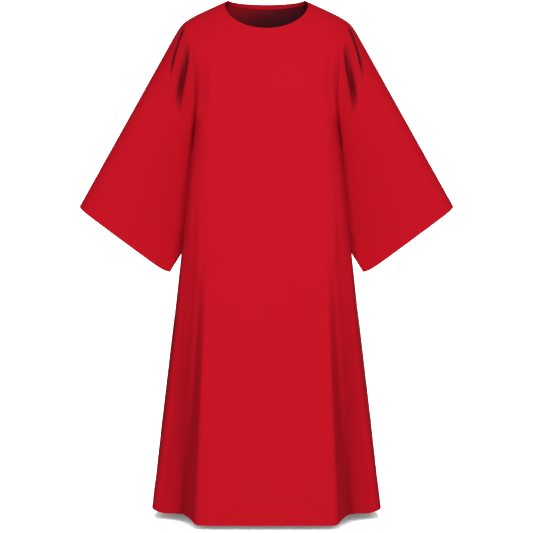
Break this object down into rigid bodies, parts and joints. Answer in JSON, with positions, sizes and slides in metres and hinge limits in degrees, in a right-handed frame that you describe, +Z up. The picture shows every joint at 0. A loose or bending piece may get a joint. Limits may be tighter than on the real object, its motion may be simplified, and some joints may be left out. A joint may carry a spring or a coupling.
{
  "type": "dalmatic",
  "caption": "Plain red dalmatic: a long flared tunic with wide open sleeves and a round neck, hollow as worn.",
  "frame": {"origin": "between the wearer's shoulders, in the middle of the neck opening at the height of its sides", "axes": "+Z up, the front of the garment faces -Y, and the wearer's left is +X"},
  "size_m": [0.9408, 0.442, 1.2862],
  "materials": {
    "cloth": "matt woven cloth with a faint sheen"
  },
  "bodies": {
    "root": {"front": "cloth", "back": "cloth", "sleeve_left": "cloth", "sleeve_right": "cloth", "neck_facing": "cloth"}
  },
  "joints": []
}
